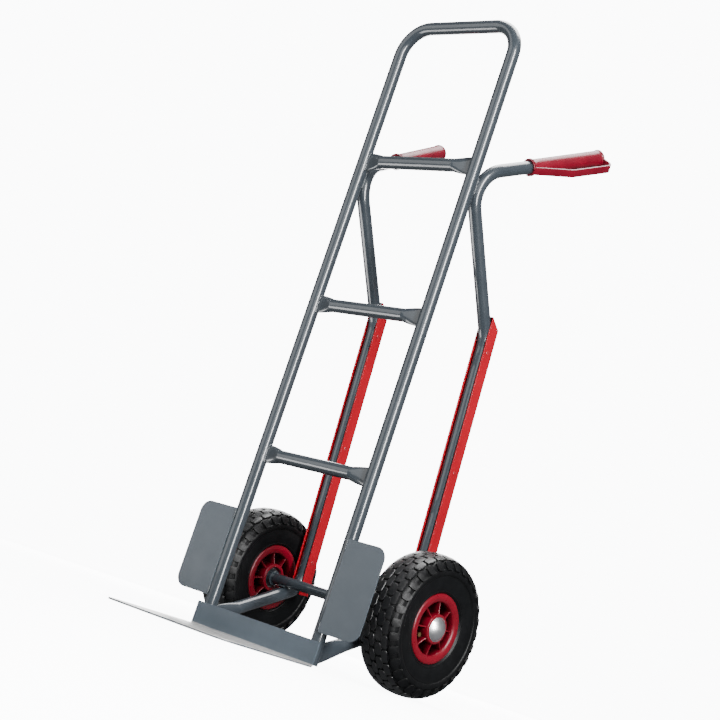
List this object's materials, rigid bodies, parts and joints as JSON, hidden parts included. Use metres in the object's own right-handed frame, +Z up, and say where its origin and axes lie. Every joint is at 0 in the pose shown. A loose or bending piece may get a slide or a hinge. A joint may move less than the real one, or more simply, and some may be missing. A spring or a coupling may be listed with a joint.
{
  "type": "hand truck",
  "caption": "Upright tubular hand truck with a bent toe plate, spoked pneumatic wheels, wheel guards, stair skids and guarded grips.",
  "frame": {"origin": "middle of the floor area that the standing truck covers, on the floor", "axes": "+Z up along the rails, X across the truck along the axle, -Y towards the toe plate, +Y towards the handles"},
  "size_m": [0.517, 0.543, 1.2405],
  "materials": {
    "frame_paint": "gloss grey powder coat",
    "red_plastic": "glossy red plastic",
    "rim_plastic": "moulded red plastic",
    "tyre_rubber": "moulded black rubber",
    "tube_rubber": "smooth black rubber",
    "seal_rubber": "smooth black rubber",
    "black_plastic": "matt black plastic",
    "zinc_steel": "zinc plated steel",
    "bearing_steel": "ground steel",
    "valve_brass": "turned brass",
    "cap_chrome": "polished chrome"
  },
  "bodies": {
    "frame": {"axle": "frame_paint", "axle_washer_left": "zinc_steel", "axle_washer_right": "zinc_steel", "bearing_inner_races_left": "bearing_steel", "bearing_inner_races_right": "bearing_steel", "crossbar_bottom": "frame_paint", "crossbar_middle": "frame_paint", "crossbar_top": "frame_paint", "grip_left": "red_plastic", "grip_right": "red_plastic", "hub_spacer_left": "zinc_steel", "hub_spacer_right": "zinc_steel", "rail_loop": "frame_paint", "skid_rivets_left": "zinc_steel", "skid_rivets_right": "zinc_steel", "split_pin_left": "zinc_steel", "split_pin_right": "zinc_steel", "stair_skid_left": "red_plastic", "stair_skid_right": "red_plastic", "stop_collar_left": "frame_paint", "stop_collar_right": "frame_paint", "support_tube_left": "frame_paint", "support_tube_right": "frame_paint", "toe_plate": "frame_paint", "wheel_guard_left": "frame_paint", "wheel_guard_right": "frame_paint"},
    "wheel_left": {"bearing_balls_left": "bearing_steel", "bearing_cages_left": "black_plastic", "bearing_outer_races_left": "bearing_steel", "bearing_seals_left": "seal_rubber", "hub_cap_left": "cap_chrome", "inner_tube_left": "tube_rubber", "rim_inner_half_left": "rim_plastic", "rim_outer_half_left": "rim_plastic", "rim_screws_left": "zinc_steel", "tyre_left": "tyre_rubber", "valve_cap_left": "valve_brass", "valve_stem_left": "valve_brass"},
    "wheel_right": {"bearing_balls_right": "bearing_steel", "bearing_cages_right": "black_plastic", "bearing_outer_races_right": "bearing_steel", "bearing_seals_right": "seal_rubber", "hub_cap_right": "cap_chrome", "inner_tube_right": "tube_rubber", "rim_inner_half_right": "rim_plastic", "rim_outer_half_right": "rim_plastic", "rim_screws_right": "zinc_steel", "tyre_right": "tyre_rubber", "valve_cap_right": "valve_brass", "valve_stem_right": "valve_brass"}
  },
  "joints": [
    {"name": "wheel_left_spin", "type": "hinge", "parent": "frame", "child": "wheel_left", "pos_m": [0.2095, 0.14155, 0.13], "axis": [1, 0, 0], "continuous": true},
    {"name": "wheel_right_spin", "type": "hinge", "parent": "frame", "child": "wheel_right", "pos_m": [-0.2095, 0.14155, 0.13], "axis": [1, 0, 0], "continuous": true}
  ]
}
